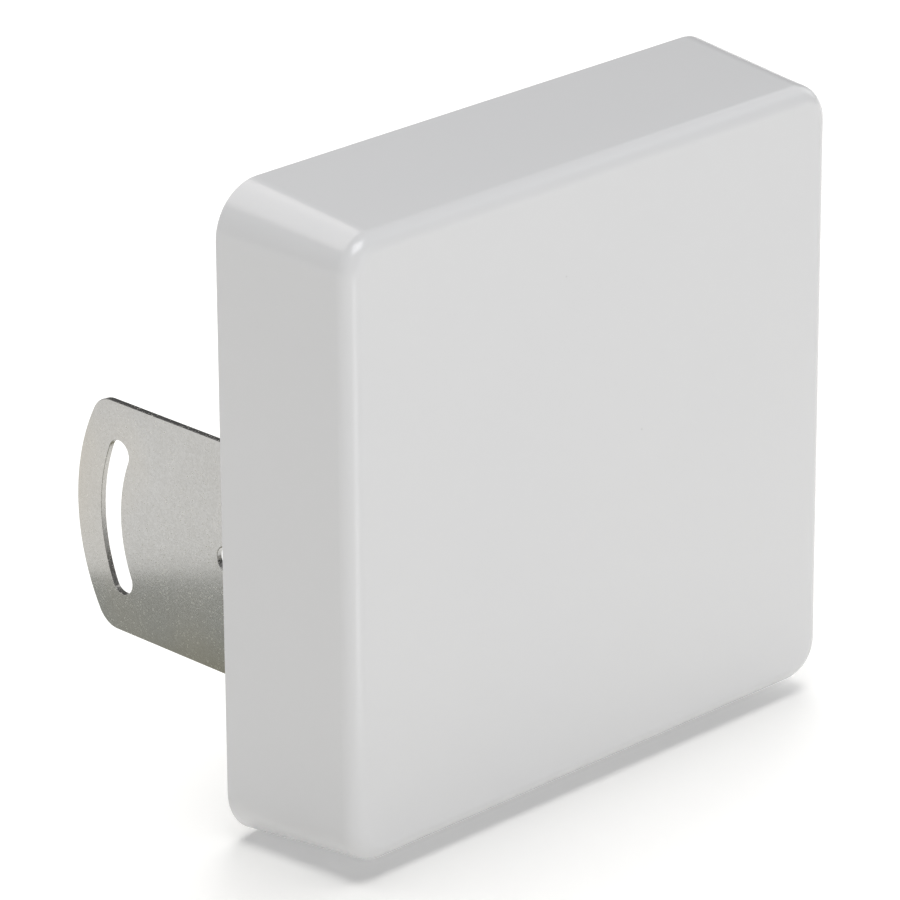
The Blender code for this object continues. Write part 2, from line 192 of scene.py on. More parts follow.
def millAluminium(graph, place):
    lines = noise(graph, stretched(graph, place, (24.0, 24.0, 2200.0)), 1.0, 3.0, 0.6)
    cloud = noise(graph, place, 24.0, 3.0)
    tone = lines * 0.6 + cloud * 0.4
    colour = mixed(graph, tone, (0.58, 0.59, 0.60, 1), (0.80, 0.805, 0.81, 1))
    roughness = 0.32 + lines * 0.14 + cloud * 0.06
    return {"Base Color": colour, "Roughness": roughness, "Normal": bumped(graph, lines, 0.00001, 0.6)}


def brightZinc(graph, place):
    cloud = noise(graph, place, 420.0, 3.0)
    grain = noise(graph, place, 4200.0, 2.0)
    colour = mixed(graph, cloud, (0.52, 0.53, 0.545, 1), (0.74, 0.745, 0.74, 1))
    roughness = 0.20 + cloud * 0.16 + grain * 0.06
    return {"Base Color": colour, "Roughness": roughness, "Normal": bumped(graph, grain, 0.000006, 0.6)}


def nickelPlate(graph, place):
    cloud = noise(graph, place, 240.0, 3.0)
    turned = noise(graph, stretched(graph, place, (260.0, 9000.0, 260.0)), 1.0, 1.0)
    colour = mixed(graph, cloud, (0.60, 0.57, 0.52, 1), (0.76, 0.74, 0.70, 1))
    roughness = 0.14 + cloud * 0.10 + turned * 0.08
    return {"Base Color": colour, "Roughness": roughness, "Normal": bumped(graph, turned, 0.000004, 0.5)}


def softRubber(graph, place):
    dust = noise(graph, place, 300.0, 4.0)
    colour = mixed(graph, dust, (0.018, 0.018, 0.018, 1), (0.05, 0.05, 0.048, 1))
    return {"Base Color": colour, "Roughness": 0.62 + dust * 0.2,
            "Normal": bumped(graph, dust, 0.00003, 0.5)}


def capPlastic(graph, place):
    texture = noise(graph, place, 2600.0, 2.0)
    dust = noise(graph, place, 160.0, 4.0, 0.6)
    colour = mixed(graph, dust, (0.020, 0.020, 0.022, 1), (0.045, 0.045, 0.048, 1))
    return {"Base Color": colour, "Roughness": 0.42 + dust * 0.16,
            "Normal": bumped(graph, texture, 0.00002, 0.6)}


def solderMask(graph, place):
    weave = noise(graph, place, 1400.0, 2.0)
    cloud = noise(graph, place, 60.0, 2.0)
    colour = mixed(graph, weave * 0.5 + cloud * 0.5, (0.012, 0.10, 0.035, 1), (0.03, 0.17, 0.06, 1))
    return {"Base Color": colour, "Roughness": 0.3 + weave * 0.12,
            "Normal": bumped(graph, weave, 0.00001, 0.5)}


def plainNylon(graph, place):
    cloud = noise(graph, place, 500.0, 3.0)
    colour = mixed(graph, cloud, (0.66, 0.64, 0.57, 1), (0.78, 0.77, 0.71, 1))
    return {"Base Color": colour, "Roughness": 0.42 + cloud * 0.14,
            "Normal": bumped(graph, cloud, 0.00002, 0.4)}


finishes = {
    "white_plastic": makeFinish("radomeGloss", gloss, {"IOR": 1.5}),
    "zinc_plate": makeFinish("zincSheet", zincSheet, {"Metallic": 1.0}),
    "aluminium": makeFinish("millAluminium", millAluminium, {"Metallic": 1.0}),
    "zinc_fastener": makeFinish("brightZinc", brightZinc, {"Metallic": 1.0}),
    "nickel": makeFinish("nickelPlate", nickelPlate, {"Metallic": 1.0}),
    "rubber": makeFinish("softRubber", softRubber),
    "cap_plastic": makeFinish("capPlastic", capPlastic),
    "board": makeFinish("solderMask", solderMask),
    "nylon": makeFinish("plainNylon", plainNylon),
}
print("finishes made", len(finishes))


# Shape helpers

def arc(centreX, centreY, radius, start, end, steps):
    points = []
    for step in range(steps + 1):
        angle = start + (end - start) * step / steps
        points.append((centreX + radius * math.cos(angle), centreY + radius * math.sin(angle)))
    return points


def circle(centreX, centreY, radius, steps):
    return arc(centreX, centreY, radius, 0, 2 * math.pi, steps)[:-1]


def roundedRectangle(halfX, halfZ, radius, steps):
    points = []
    for quarter, (signX, signZ) in enumerate(((1, 1), (-1, 1), (-1, -1), (1, -1))):
        start = quarter * math.pi / 2
        points += arc(signX * (halfX - radius), signZ * (halfZ - radius), radius,
                      start, start + math.pi / 2, steps)
    return points


def eased(profile, radius, steps=3):
    # rounds every corner of an open outline, with less than half of a side to each corner,
    # and leaves its two ends where they are
    points = [profile[0]]
    for before, corner, after in zip(profile, profile[1:], profile[2:]):
        before, corner, after = Vector(before), Vector(corner), Vector(after)
        reach = min(radius, (before - corner).length * 0.45, (after - corner).length * 0.45)
        first = corner + (before - corner).normalized() * reach
        last = corner + (after - corner).normalized() * reach
        for step in range(steps + 1):
            t = step / steps
            points.append(tuple(first * (1 - t) ** 2 + corner * 2 * t * (1 - t) + last * t * t))
    points.append(profile[-1])
    return points


def hexReach(apothem, angle):
    return apothem / math.cos((angle % (math.pi / 3)) - math.pi / 6)


def skin(data, loops, closed=False):
    pairs = list(zip(loops, loops[1:]))
    if closed:
        pairs.append((loops[-1], loops[0]))
    count = max(len(loop) for loop in loops)
    for first, second in pairs:
        for index in range(count):
            after = (index + 1) % count
            corners = [first[index % len(first)], first[after % len(first)],
                       second[after % len(second)], second[index % len(second)]]
            corners = list(dict.fromkeys(corners))
            if len(corners) > 2:
                data.faces.new(corners)


def lathe(profile, steps=48):
    # profile points are radius and height along +Y
    data = bmesh.new()
    loops = []
    for radius, y in profile:
        if radius < 1e-7:
            loops.append([data.verts.new((0, y, 0))])
            continue
        turns = [2 * math.pi * index / steps for index in range(steps)]
        loops.append([data.verts.new((radius * math.cos(a), y, radius * math.sin(a))) for a in turns])
    skin(data, loops)
    return data


def rod(radius, start, end):
    # profile of a plain round bar for lathe
    return [(0, start), (radius, start), (radius, end), (0, end)]


def shadeRound(piece, sharpDegrees):
    piece.data.shade_smooth()
    piece.data.set_sharp_from_angle(angle=math.radians(sharpDegrees))


def toObject(name, data, sharpDegrees=35):
    bmesh.ops.remove_doubles(data, verts=data.verts, dist=1e-7)
    bmesh.ops.recalc_face_normals(data, faces=data.faces)
    mesh = bpy.data.meshes.new(name)
    data.to_mesh(mesh)
    data.free()
    made = bpy.data.objects.new(name, mesh)
    shadeRound(made, sharpDegrees)
    scene.collection.objects.link(made)
    return made


def applied(piece):
    # the piece as its modifiers leave it, as a plain mesh
    graph = bpy.context.evaluated_depsgraph_get()
    mesh = bpy.data.meshes.new_from_object(piece.evaluated_get(graph))
    old = piece.data
    piece.modifiers.clear()
    piece.data = mesh
    if isinstance(old, bpy.types.Mesh) and old.users == 0:
        bpy.data.meshes.remove(old)
    return piece


def evenNormals(piece):
    # flat faces keep their own direction, so that only the eased edges shade round
    step = piece.modifiers.new("normals", "WEIGHTED_NORMAL")
    step.keep_sharp = True
    return applied(piece)


def cut(piece, cutter, operation="DIFFERENCE"):
    step = piece.modifiers.new("cut", "BOOLEAN")
    step.operation = operation
    step.solver = "EXACT"
    step.object = cutter
    applied(piece)
    bpy.data.objects.remove(cutter)


def settle(piece, body, slotName, *nodes):
    piece.data.materials.clear()
    piece.data.materials.append(finishes[slotName])
    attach(piece, body)
    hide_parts(*nodes)
    print("made", piece.name, len(piece.data.polygons), "faces")
    return piece


def centreOf(node):
    low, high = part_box(node)
    return (low + high) / 2


def numbered(name, count):
    return [f"{name}_{number}" for number in range(1, count + 1)]


screwNodes = numbered("back_screw", 8)
boltNodes = numbered("bracket_bolt", 4)
washerNodes = numbered("bracket_washer", 4)


# Radome: moulded cover with drafted walls, round corners and a soft front edge

radomeShape = {
    "draftSide": 4.7, "draftEnds": 6.2,    # degrees that the walls lean in
    "frontFillet": 0.0058,
    "cornerFront": 0.0121, "cornerRear": 0.0158,
    "wall": 0.0025, "rimEase": 0.0004,
    "ledgeDepth": 0.0036, "ledgeHeight": 0.0024, "ledgeWidth": 0.003,
    "bossRadius": 0.0045, "bossEnd": 0.02, "bossSteps": 24,
    "pilotRadius": 0.0018, "pilotEnd": 0.0165, "overcut": 0.001,
    "cornerSteps": 16, "filletSteps": 12, "wallSteps": 8, "sharpDegrees": 40,
}


def halfSizes(shape, fromRear):
    # half the width and half the height of the cover where its walls have leaned in
    halfX = (radomeHigh.x - radomeLow.x) / 2 - fromRear * math.tan(math.radians(shape["draftSide"]))
    halfZ = (radomeHigh.z - radomeLow.z) / 2 - fromRear * math.tan(math.radians(shape["draftEnds"]))
    return halfX, halfZ


def wallRing(shape, fromFront, inset=0.0):
    depth = rearY - frontY
    halfX, halfZ = halfSizes(shape, depth - fromFront)
    share = fromFront / depth
    radius = shape["cornerFront"] * (1 - share) + shape["cornerRear"] * share - inset
    outline = roundedRectangle(halfX - inset, halfZ - inset, radius, shape["cornerSteps"])
    return [(x, frontY + fromFront, middleZ + z) for x, z in outline]


def edgeRings(shape, inset, fillet, fromFront):
    draft = math.radians((shape["draftSide"] + shape["draftEnds"]) / 2)
    sharpX, sharpZ = halfSizes(shape, rearY - frontY)
    start = (fillet * math.sin(draft) - fillet) / math.cos(draft)
    turn = math.pi / 2 - draft
    rings = []
    for step in range(shape["filletSteps"], -1, -1):
        angle = turn * step / shape["filletSteps"]
        offset = start + fillet * math.sin(angle)
        radius = shape["cornerFront"] - inset - fillet * (math.sin(turn) - math.sin(angle))
        outline = roundedRectangle(sharpX - inset + offset, sharpZ - inset + offset, radius,
                                   shape["cornerSteps"])
        y = frontY + fromFront + fillet - fillet * math.cos(angle)
        rings.append([(x, y, middleZ + z) for x, z in outline])
    return rings


def buildRadome(shape):
    depth = rearY - frontY
    ease = shape["rimEase"]
    wall = shape["wall"]
    outer = [wallRing(shape, depth, ease)]
    steps = shape["wallSteps"]
    tangent = shape["frontFillet"]
    for step in range(steps):
        outer.append(wallRing(shape, depth - ease - (depth - ease - tangent) * step / steps))
    outer += edgeRings(shape, 0.0, tangent, 0.0)
    ledgeTop = depth - shape["ledgeDepth"]
    ledgeFoot = ledgeTop - shape["ledgeHeight"]
    inner = edgeRings(shape, wall, tangent - wall, wall)[::-1]
    inner.append(wallRing(shape, ledgeFoot - shape["ledgeWidth"], wall))
    inner.append(wallRing(shape, ledgeFoot, wall + shape["ledgeWidth"]))
    inner.append(wallRing(shape, ledgeTop, wall + shape["ledgeWidth"]))
    inner.append(wallRing(shape, ledgeTop, wall))
    inner.append(wallRing(shape, depth - ease, wall))
    inner.append(wallRing(shape, depth, wall))
    data = bmesh.new()
    outerLoops = [[data.verts.new(point) for point in ring] for ring in outer]
    innerLoops = [[data.verts.new(point) for point in ring] for ring in inner]
    skin(data, outerLoops)
    skin(data, innerLoops)
    skin(data, [innerLoops[-1], outerLoops[0]])
    capFace(data, outerLoops[-1])
    capFace(data, innerLoops[0])
    radome = toObject("radomeCover", data, shape["sharpDegrees"])
    top = rearY - shape["ledgeDepth"]
    post = rod(shape["bossRadius"], top, rearY - shape["bossEnd"])
    hole = rod(shape["pilotRadius"], top + shape["overcut"], rearY - shape["pilotEnd"])
    for node in screwNodes:
        centre = centreOf(node)
        for profile, operation in ((post, "UNION"), (hole, "DIFFERENCE")):
            tool = toObject("tool", lathe(profile, shape["bossSteps"]))
            tool.data.transform(Matrix.Translation((centre.x, 0, centre.z)))
            cut(radome, tool, operation)
    shadeRound(radome, shape["sharpDegrees"])
    return settle(evenNormals(radome), "antenna", "white_plastic", "radome")


def capFace(data, loop):
    # rings drawn in towards the middle, so that a flat face has an even mesh
    middle = sum((vert.co for vert in loop), Vector()) / len(loop)
    loops = [loop]
    for share in (0.97, 0.88, 0.7, 0.45, 0.2):
        loops.append([data.verts.new(middle + (vert.co - middle) * share) for vert in loop])
    loops.append([data.verts.new(middle)])
    skin(data, loops)


buildRadome(radomeShape)


# Bracket: cut flat from sheet, edges eased, then bent into an L

bracketShape = {
    "plate": 0.002, "bendInside": 0.003, "edgeEase": 0.00022,
    "baseCorner": 0.012, "tailCorner": 0.009,
    "pivotBehind": 0.0683, "slotRadius": 0.0524, "slotWidth": 0.0089, "slotHalfDegrees": 23.7,
    "endRadius": 0.0677, "boltHole": 0.0029, "sharpDegrees": 50,
    "bendSteps": 10, "cornerSteps": 12, "endSteps": 40, "slotSteps": 32, "tipSteps": 16,
    "pivotSteps": 40, "boltSteps": 28,
}


def flatSheet(name, outlines, thickness, ease):
    # a filled flat curve: first outline is the edge, the others are holes
    curve = bpy.data.curves.new(name, "CURVE")
    curve.dimensions = "2D"
    curve.fill_mode = "BOTH"
    curve.extrude = thickness / 2 - ease
    curve.bevel_depth = ease
    curve.bevel_resolution = 2
    curve.offset = -ease
    for outline in outlines:
        spline = curve.splines.new("POLY")
        spline.points.add(len(outline) - 1)
        for point, (u, v) in zip(spline.points, outline):
            point.co = (u, v, 0, 1)
        spline.use_cyclic_u = True
    holder = bpy.data.objects.new(name, curve)
    scene.collection.objects.link(holder)
    graph = bpy.context.evaluated_depsgraph_get()
    mesh = bpy.data.meshes.new_from_object(holder.evaluated_get(graph))
    bpy.data.objects.remove(holder)
    data = bmesh.new()
    data.from_mesh(mesh)
    bpy.data.meshes.remove(mesh)
    bmesh.ops.remove_doubles(data, verts=data.verts, dist=2e-6)
    return data


def buildBracket(shape):
    plate = shape["plate"]
    middle = (bracketLow.z + bracketHigh.z) / 2
    half = (bracketHigh.z - bracketLow.z) / 2
    bendX = bracketLow.x + plate + shape["bendInside"]      # axis of the bend
    bendY = bracketLow.y + plate + shape["bendInside"]
    bendRadius = shape["bendInside"] + plate / 2
    baseLength = bracketHigh.x - bendX
    bendLength = bendRadius * math.pi / 2
    tailStart = baseLength + bendLength                      # where the flat tilt plate begins
    pivot = tailStart + rearY + shape["pivotBehind"] - bendY
    tail = shape["tailCorner"]
    reach = shape["endRadius"] - tail
    angle = math.asin((half - tail) / reach)
    cornerU = pivot + reach * math.cos(angle)
    base = shape["baseCorner"]
    steps = shape["cornerSteps"]
    edge = arc(cornerU, -(half - tail), tail, -math.pi / 2, -angle, steps)
    edge += arc(pivot, 0, shape["endRadius"], -angle, angle, shape["endSteps"])[1:-1]
    edge += arc(cornerU, half - tail, tail, angle, math.pi / 2, steps)
    edge += arc(base, half - base, base, math.pi / 2, math.pi, steps)
    edge += arc(base, -(half - base), base, math.pi, 1.5 * math.pi, steps)
    slotHalf = shape["slotWidth"] / 2
    turn = math.radians(shape["slotHalfDegrees"])
    radius = shape["slotRadius"]
    tip = (pivot + radius * math.cos(turn), radius * math.sin(turn))
    slot = arc(pivot, 0, radius + slotHalf, -turn, turn, shape["slotSteps"])
    slot += arc(tip[0], tip[1], slotHalf, turn, turn + math.pi, shape["tipSteps"])[1:-1]
    slot += arc(pivot, 0, radius - slotHalf, turn, -turn, shape["slotSteps"])
    slot += arc(tip[0], -tip[1], slotHalf, math.pi - turn, 2 * math.pi - turn, shape["tipSteps"])[1:-1]
    outlines = [edge, slot, circle(pivot, 0, slotHalf, shape["pivotSteps"])]
    for node in boltNodes:
        centre = centreOf(node)
        outlines.append(circle(bracketHigh.x - centre.x, centre.z - middle, shape["boltHole"],
                               shape["boltSteps"]))
    data = flatSheet("bracketBlank", outlines, plate, shape["edgeEase"])
    for step in range(shape["bendSteps"] + 1):
        u = baseLength + bendLength * step / shape["bendSteps"]
        bmesh.ops.bisect_plane(data, geom=data.verts[:] + data.edges[:] + data.faces[:], dist=1e-7,
                               plane_co=(u, 0, 0), plane_no=(1, 0, 0))
    for vert in data.verts:
        u, v, w = vert.co
        if u <= baseLength:
            x = bracketHigh.x - u
            y = bracketLow.y + plate / 2 + w
        elif u < tailStart:
            turned = (u - baseLength) / bendRadius
            x = bendX - (bendRadius - w) * math.sin(turned)
            y = bendY - (bendRadius - w) * math.cos(turned)
        else:
            x = bendX - bendRadius + w
            y = bendY + u - tailStart
        vert.co = (x, y, middle + v)
    bracket = evenNormals(toObject("tiltBracket", data, shape["sharpDegrees"]))
    return settle(bracket, "antenna", "zinc_plate", "tilt_bracket")


bracket = buildBracket(bracketShape)


# Back plate: sheet lid inside the rim, with holes for the sockets, screws, bolts and vent

lidShape = {"corner": 0.0127, "edgeEase": 0.0002, "screwHole": 0.0018, "boltHole": 0.0029,
            "socketHole": 0.0082, "ventHole": 0.0033,
            "cornerSteps": 14, "holeSteps": 24, "sharpDegrees": 50}


def buildLid(shape):
    halfX = (backHigh.x - backLow.x) / 2
    halfZ = (backHigh.z - backLow.z) / 2
    outlines = [roundedRectangle(halfX, halfZ, shape["corner"], shape["cornerSteps"])]
    holes = [(node, "screwHole") for node in screwNodes]
    holes += [(node, "boltHole") for node in boltNodes]
    holes += [("socket_left", "socketHole"), ("socket_right", "socketHole"), ("vent_plug", "ventHole")]
    for node, kind in holes:
        centre = centreOf(node)
        outlines.append(circle(centre.x, centre.z - middleZ, shape[kind], shape["holeSteps"]))
    data = flatSheet("lidBlank", outlines, backHigh.y - backLow.y, shape["edgeEase"])
    for vert in data.verts:
        u, v, w = vert.co
        vert.co = (u, (backLow.y + backHigh.y) / 2 + w, middleZ + v)
    lid = evenNormals(toObject("backPlate", data, shape["sharpDegrees"]))
    return settle(lid, "antenna", "aluminium", "back_plate")


buildLid(lidShape)


# Repeated fasteners: one model of each, set out on its places by Geometry Nodes

def openTree(name, sockets):
    tree = bpy.data.node_groups.new(name, "GeometryNodeTree")
    for label, kind in sockets.items():
        tree.interface.new_socket(label, in_out="INPUT", socket_type=f"NodeSocket{kind}")
    tree.interface.new_socket("Result", in_out="OUTPUT", socket_type="NodeSocketGeometry")
    graph = Graph(tree)
    given = tree.nodes.new("NodeGroupInput")
    return graph, {socket.name: Wire(graph, socket) for socket in given.outputs}


def closeTree(graph, parts, finish):
    both = graph.tree.nodes.new("GeometryNodeJoinGeometry")
    for part in parts:
        graph.tree.links.new(part.socket, both.inputs[0])
    real = graph.add("GeometryNodeRealizeInstances", None, {0: Wire(graph, both.outputs[0])})
    finished = graph.add("GeometryNodeSetMaterial", None, {"Geometry": real, "Material": finish})
    graph.add("NodeGroupOutput", None, {0: finished})
    return graph.tree


def repeatTree():
    graph, take = openTree("setOutPieces", {"Places": "Geometry", "Piece": "Object", "Finish": "Material",
                                            "Most Turn": "Float", "Seed": "Int"})
    model = graph.add("GeometryNodeObjectInfo", None, {"Object": take["Piece"]}, out="Geometry")
    # 2 and 3 are the least and the most of a plain number
    turn = graph.add("FunctionNodeRandomValue", {"data_type": "FLOAT"},
                     {2: 0.0, 3: take["Most Turn"], "Seed": take["Seed"]}, out=1)
    turned = graph.add("ShaderNodeCombineXYZ", None, {"Y": turn})
    rotation = graph.add("FunctionNodeEulerToRotation", None, {0: turned})
    placed = graph.add("GeometryNodeInstanceOnPoints", None,
                       {"Points": take["Places"], "Instance": model, "Rotation": rotation})
    return closeTree(graph, [placed], take["Finish"])


setOut = repeatTree()


def giveInputs(modifier, values):
    for item in modifier.node_group.interface.items_tree:
        if item.item_type == "SOCKET" and item.in_out == "INPUT" and item.name in values:
            modifier[item.identifier] = values[item.name]


def repeated(name, model, seatY, nodes, slotName, mostTurn, seed):
    mesh = bpy.data.meshes.new(name)
    centres = [centreOf(node) for node in nodes]
    mesh.from_pydata([(centre.x, seatY, centre.z) for centre in centres], [], [])
    holder = bpy.data.objects.new(name, mesh)
    scene.collection.objects.link(holder)
    modifier = holder.modifiers.new("setOut", "NODES")
    modifier.node_group = setOut
    giveInputs(modifier, {"Piece": model, "Finish": finishes[slotName], "Most Turn": mostTurn,
                          "Seed": seed})
    applied(holder)
    bpy.data.objects.remove(model)
    return settle(holder, "antenna", slotName, *nodes)


screwShape = {"head": 0.0028, "height": 0.0022, "shaft": 0.0014, "length": 0.0143, "point": 0.0014,
              "domeDegrees": 78, "domeSteps": 8, "rimShare": 0.3, "rimFoot": 0.0003, "footShare": 0.96,
              "recess": 0.0033, "slotWidth": 0.0007, "recessDepth": 0.0012, "taper": 0.45}
boltShape = {"apothem": 0.004, "height": 0.0035, "shaft": 0.0024, "chamferDegrees": 30, "faceShare": 0.93,
             "dishShare": 0.7, "sunkShare": 0.62, "dishDepth": 0.0002, "seatShare": 0.95, "seatEase": 0.0002,
             "threadEnd": 0.0105, "tipEnd": 0.0109, "tipShare": 0.8}
washerShape = {"bore": 0.0028, "outer": 0.005, "thick": 0.001, "ease": 0.00018}


def panScrew(shape):
    head = shape["head"]
    height = shape["height"]
    rim = height * shape["rimShare"]
    widest = math.radians(shape["domeDegrees"])
    dome = [(0, height)]
    for step in range(1, shape["domeSteps"] + 1):
        angle = widest * step / shape["domeSteps"]
        rise = (math.cos(angle) - math.cos(widest)) / (1 - math.cos(widest))
        dome.append((head * math.sin(angle) / math.sin(widest), rim + (height - rim) * rise))
    profile = dome + [(head, shape["rimFoot"]), (head * shape["footShare"], 0), (shape["shaft"], 0),
                      (shape["shaft"], shape["point"] - shape["length"]), (0, -shape["length"])]
    screw = toObject("panScrew", lathe(profile, steps=36))
    for turn in (0, math.pi / 2):
        data = bmesh.new()
        bmesh.ops.create_cube(data, size=1.0)
        for vert in data.verts:
            share = 1.0 if vert.co.y > 0 else shape["taper"]
            vert.co = (vert.co.x * shape["recess"] * share, vert.co.y * 2 * shape["recessDepth"],
                       vert.co.z * shape["slotWidth"])
        tool = toObject("tool", data)
        tool.data.transform(Matrix.Rotation(turn, 4, "Y"))
        tool.data.transform(Matrix.Translation((0, height, 0)))
        cut(screw, tool)
    return screw


hexSteps = 48
hexSharp = 28       # degrees
hexAngles = [2 * math.pi * step / hexSteps for step in range(hexSteps)]


def roundRing(data, radius, y):
    return [data.verts.new((radius * math.cos(a), y, radius * math.sin(a))) for a in hexAngles]


def hexRing(data, apothem, y, slope=0.0, faceRadius=0.0):
    # round a hexagon's sides, drawn down in step with the distance past the face
    ring = []
    for a in hexAngles:
        reach = hexReach(apothem, a)
        ring.append(data.verts.new((reach * math.cos(a), y - (reach - faceRadius) * slope,
                                    reach * math.sin(a))))
    return ring


def hexFace(data, apothem, y, chamfer, outwards, faceRadius):
    # the flat round face of a hexagon and the curved chamfer line on its sides
    flat = roundRing(data, faceRadius, y)
    return flat, hexRing(data, apothem, y, math.tan(chamfer) * outwards, faceRadius)


def hexBolt(shape):
    data = bmesh.new()
    apothem = shape["apothem"]
    height = shape["height"]
    flat, side = hexFace(data, apothem, height, math.radians(shape["chamferDegrees"]), 1,
                         apothem * shape["faceShare"])
    foot = hexRing(data, apothem, shape["seatEase"])
    dish = roundRing(data, apothem * shape["dishShare"], height)
    sunk = roundRing(data, apothem * shape["sunkShare"], height - shape["dishDepth"])
    seat = roundRing(data, apothem * shape["seatShare"], 0.0)
    neck = roundRing(data, shape["shaft"], 0.0)
    end = roundRing(data, shape["shaft"], -shape["threadEnd"])
    tip = roundRing(data, shape["shaft"] * shape["tipShare"], -shape["tipEnd"])
    top = [data.verts.new((0, height - shape["dishDepth"], 0))]
    bottom = [data.verts.new((0, -shape["tipEnd"], 0))]
    skin(data, [top, sunk, dish, flat, side, foot, seat, neck, end, tip, bottom])
    return toObject("hexBolt", data, hexSharp)


def flatWasher(shape):
    bore, outer, thick = shape["bore"], shape["outer"], shape["thick"]
    data = lathe(eased([(bore, thick / 2), (bore, thick), (outer, thick), (outer, 0), (bore, 0),
                        (bore, thick / 2)], shape["ease"]), steps=44)
    return toObject("flatWasher", data, sharpDegrees=40)


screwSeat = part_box("back_screw_1")[1].y - screwShape["height"]
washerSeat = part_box("bracket_washer_1")[0].y
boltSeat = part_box("bracket_bolt_1")[1].y - boltShape["height"]
repeated("backScrews", panScrew(screwShape), screwSeat, screwNodes, "zinc_fastener",
         mostTurn=math.pi, seed=4)
repeated("bracketBolts", hexBolt(boltShape), boltSeat, boltNodes, "zinc_fastener",
         mostTurn=0.5, seed=7)
repeated("bracketWashers", flatWasher(washerShape), washerSeat, washerNodes, "zinc_fastener",
         mostTurn=3.0, seed=9)


# Sockets: turned barrel with a real thread, nut and push-on cap

socketShape = {
    "barrel": 0.0079, "threadDepth": 0.00055, "pitch": 0.00106, "threadStart": 0.0036,
    "threadGap": 0.0004, "threadShort": 0.0016, "mouthEase": 0.0005, "mouthRadius": 0.0071,
    "mouth": 0.019, "flange": 0.011, "flangeThick": 0.002, "flangeAbovePin": 0.0044,
    "recessRadius": 0.0042, "recessDepth": 0.009, "pin": 0.0015, "pinSet": 0.002,
    "collar": 0.0025, "collarThick": 0.001, "tail": 0.0007, "ease": 0.00012,
}
nutShape = {"apothem": 0.0105, "bore": 0.0082, "boreEase": 0.0003, "faceShare": 0.94, "chamferDegrees": 30}
capShape = {"outer": 0.0094, "top": 0.0203, "roof": 0.0193, "skirt": 0.0045, "bore": 0.0082,
            "lip": 0.0004, "lipHigh": 0.0016, "crown": 0.0006, "crownShare": 0.9, "edge": 0.0002,
            "dishRadius": 0.0055, "dishFoot": 0.0051, "ease": 0.0004,
            "ribs": 28, "ribRadius": 0.0004, "ribShort": 0.0014, "ribTip": 0.0006}


def threadTree():
    graph, take = openTree("threadOnBarrel", {"Barrel": "Geometry", "Radius": "Float", "Length": "Float",
                                              "Start": "Float", "Depth": "Float", "Turns": "Float",
                                              "Finish": "Material"})
    helix = graph.add("GeometryNodeCurveSpiral", None,
                      {"Resolution": 36, "Rotations": take["Turns"], "Start Radius": take["Radius"],
                       "End Radius": take["Radius"], "Height": take["Length"]})
    ridge = graph.add("GeometryNodeCurvePrimitiveCircle", {"mode": "RADIUS"},
                      {"Resolution": 4, "Radius": take["Depth"]}, out="Curve")
    rope = graph.add("GeometryNodeCurveToMesh", None,
                     {"Curve": helix, "Profile Curve": ridge, "Fill Caps": True})
    lifted = graph.add("ShaderNodeCombineXYZ", None, {"Y": take["Start"]})
    upright = graph.add("GeometryNodeTransform", None,
                        {"Geometry": rope, "Rotation": (-math.pi / 2, 0, 0), "Translation": lifted})
    return closeTree(graph, [take["Barrel"], upright], take["Finish"])


def ribTree():
    graph, take = openTree("ribsRoundCap", {"Cap": "Geometry", "Rib": "Object", "Ribs": "Int",
                                            "Radius": "Float", "Finish": "Material"})
    ring = graph.add("GeometryNodeMeshCircle", None, {"Vertices": take["Ribs"], "Radius": take["Radius"]})
    upright = graph.add("GeometryNodeTransform", None,
                        {"Geometry": ring, "Rotation": (math.pi / 2, 0, 0)})
    rib = graph.add("GeometryNodeObjectInfo", None, {"Object": take["Rib"]}, out="Geometry")
    placed = graph.add("GeometryNodeInstanceOnPoints", None, {"Points": upright, "Instance": rib})
    return closeTree(graph, [take["Cap"], placed], take["Finish"])


threading = threadTree()
ribbing = ribTree()


def buildSocket(side, shape):
    centre = centreOf(f"socket_{side}")
    barrel, start, gap = shape["barrel"], shape["threadStart"], shape["threadGap"]
    root = barrel - shape["threadDepth"]
    mouth = shape["mouth"]
    pinTop = mouth - shape["pinSet"]
    recess = mouth - shape["recessDepth"]
    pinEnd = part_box(f"socket_{side}")[0].y - rearY
    flangeTop = pinEnd + shape["flangeAbovePin"]
    flangeFoot = flangeTop - shape["flangeThick"]
    collarFoot = flangeFoot - shape["collarThick"]
    profile = [(0, pinTop), (shape["pin"], pinTop), (shape["pin"], recess),
               (shape["recessRadius"], recess), (shape["recessRadius"], mouth),
               (shape["mouthRadius"], mouth), (root, mouth - shape["mouthEase"]), (root, start),
               (barrel, start - gap), (barrel, flangeTop),
               (shape["flange"], flangeTop), (shape["flange"], flangeFoot),
               (shape["collar"], flangeFoot), (shape["collar"], collarFoot),
               (shape["tail"], collarFoot), (shape["tail"], pinEnd), (0, pinEnd)]
    socket = toObject(f"socket{side.title()}", lathe(eased(profile, shape["ease"], steps=2), steps=48))
    modifier = socket.modifiers.new("thread", "NODES")
    modifier.node_group = threading
    length = mouth - start - shape["threadShort"]
    giveInputs(modifier, {"Radius": root, "Length": length, "Start": start + gap,
                          "Depth": shape["threadDepth"], "Turns": length / shape["pitch"],
                          "Finish": finishes["nickel"]})
    applied(socket)
    socket.data.transform(Matrix.Translation((centre.x, rearY, centre.z)))
    return settle(socket, "antenna", "nickel", f"socket_{side}")


